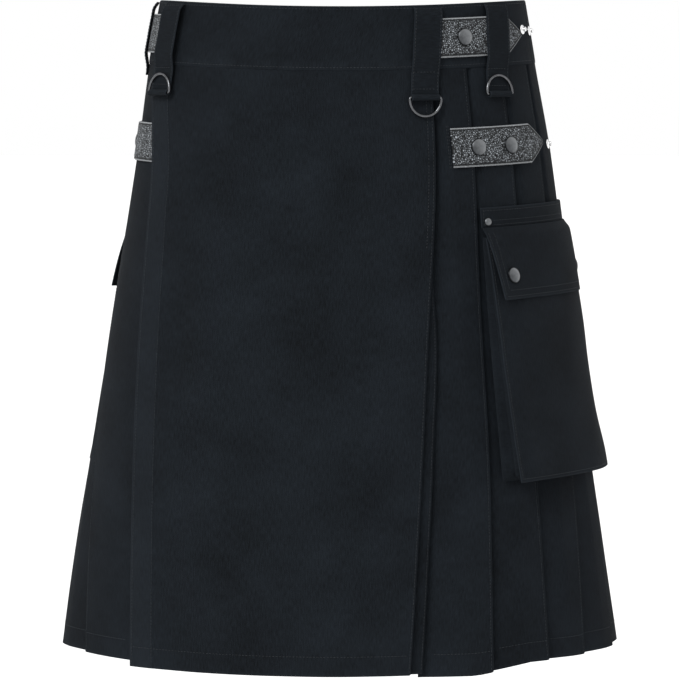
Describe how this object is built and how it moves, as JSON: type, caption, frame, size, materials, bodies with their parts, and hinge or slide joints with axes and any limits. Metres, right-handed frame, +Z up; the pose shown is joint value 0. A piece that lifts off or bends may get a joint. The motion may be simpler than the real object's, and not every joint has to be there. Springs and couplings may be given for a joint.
{
  "type": "gothic kilt",
  "caption": "Wrapped utility kilt of black canvas with knife pleats, a flat apron, leather side straps, D-rings on belt loops and bellows pockets.",
  "frame": {"origin": "middle of the waist opening, half way down the waistband, where the wearer's waist holds the kilt", "axes": "+Z up, the wearer faces -Y, so +X is the wearer's left"},
  "size_m": [0.5257, 0.3778, 0.6174],
  "materials": {
    "canvas": "matt black cotton canvas, fine plain weave",
    "leather": "pebbled black leather with a soft sheen",
    "gunmetal": "dark gunmetal plating, satin",
    "bright_steel": "polished nickel"
  },
  "bodies": {
    "kilt": {"waistband_front": "canvas", "waistband_back": "canvas", "waistband_under": "canvas", "apron": "canvas", "under_apron": "canvas", "pleats_left_1": "canvas", "pleats_left_2": "canvas", "pleats_left_3": "canvas", "pleats_right_1": "canvas", "pleats_right_2": "canvas", "pleats_right_3": "canvas", "pleats_right_4": "canvas", "pocket_left_band": "canvas", "pocket_left_back": "canvas", "pocket_left_gusset": "canvas", "pocket_left_front": "canvas", "pocket_left_flap": "canvas", "pocket_right_band": "canvas", "pocket_right_back": "canvas", "pocket_right_gusset": "canvas", "pocket_right_front": "canvas", "pocket_right_flap": "canvas", "loop_centre": "canvas", "loop_left": "canvas", "loop_right": "canvas", "loop_side_right": "canvas", "loop_back_left": "canvas", "loop_back_right": "canvas", "strap_waist_left": "leather", "strap_waist_right": "leather", "strap_hip_left": "leather", "strap_hip_right": "leather", "snap_waist_left": "gunmetal", "snap_waist_right": "gunmetal", "snap_hip_left_1": "gunmetal", "snap_hip_left_2": "gunmetal", "snap_hip_right_1": "gunmetal", "snap_hip_right_2": "gunmetal", "snap_pocket_left_1": "gunmetal", "snap_pocket_left_2": "gunmetal", "snap_pocket_right_1": "gunmetal", "snap_pocket_right_2": "gunmetal", "rivet_left_1": "gunmetal", "rivet_left_2": "gunmetal", "rivet_right_1": "gunmetal", "rivet_right_2": "gunmetal", "stud_waist_1": "bright_steel", "stud_waist_2": "bright_steel", "stud_hip": "bright_steel"},
    "d_ring_centre": {"d_ring_centre": "gunmetal"},
    "d_ring_left": {"d_ring_left": "gunmetal"},
    "d_ring_right": {"d_ring_right": "gunmetal"}
  },
  "joints": [
    {"name": "d_ring_centre_swing", "type": "hinge", "parent": "kilt", "child": "d_ring_centre", "pos_m": [0.07602, -0.11803, -0.05338], "axis": [-0.9597, -0.2809, 0], "range_deg": [0, 180]},
    {"name": "d_ring_left_swing", "type": "hinge", "parent": "kilt", "child": "d_ring_left", "pos_m": [0.14527, -0.08329, -0.05039], "axis": [-0.7814, -0.624, 0], "range_deg": [-187, 0]},
    {"name": "d_ring_right_swing", "type": "hinge", "parent": "kilt", "child": "d_ring_right", "pos_m": [-0.16924, -0.06815, -0.04919], "axis": [-0.6436, 0.7653, 0], "range_deg": [-186, 0]}
  ]
}
